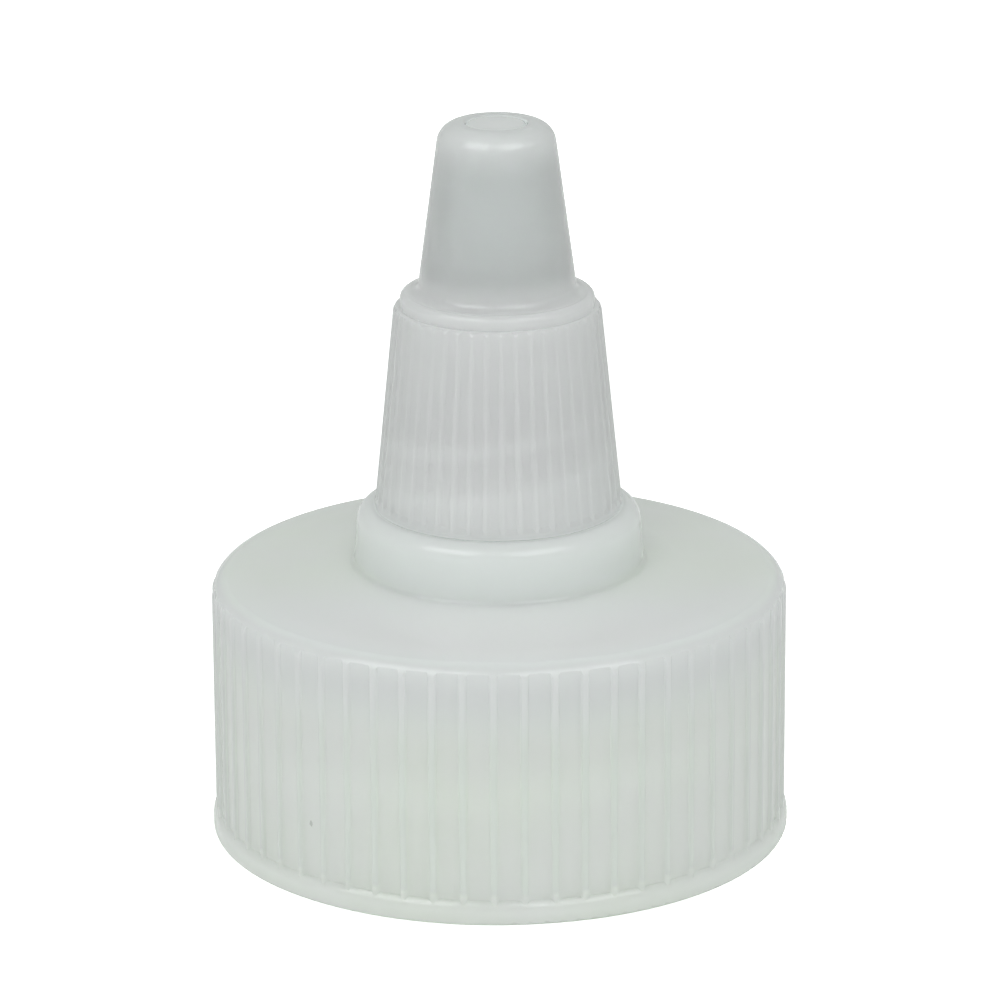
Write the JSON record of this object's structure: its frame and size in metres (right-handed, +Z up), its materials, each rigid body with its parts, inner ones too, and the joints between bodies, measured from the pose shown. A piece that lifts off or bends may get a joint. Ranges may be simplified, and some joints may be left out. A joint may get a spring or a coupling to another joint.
{
  "type": "twist dispensing cap",
  "caption": "Ribbed screw closure for a bottle neck with a raised collar and a tapered twist tip that opens and closes a small orifice.",
  "frame": {"origin": "on the cap's axis, in the plane of the skirt's open rim", "axes": "+Z up along the axis towards the orifice; the cap is round, so +X and +Y are free, and the neck thread starts at +X"},
  "size_m": [0.0306, 0.0306, 0.0383],
  "materials": {
    "closure": "natural unpigmented polyolefin, milky and translucent, satin to gloss as moulded",
    "tip": "natural unpigmented polyolefin, clearer where the wall is thin, gloss nozzle over a fine ribbed grip"
  },
  "bodies": {
    "closure": {"closure_base": "closure"},
    "tip": {"twist_tip": "tip"}
  },
  "joints": [
    {"name": "tip_twist", "type": "hinge", "parent": "closure", "child": "tip", "pos_m": [0, 0, 0.01775], "axis": [0, 0, 1], "range_deg": [0, 270]}
  ]
}
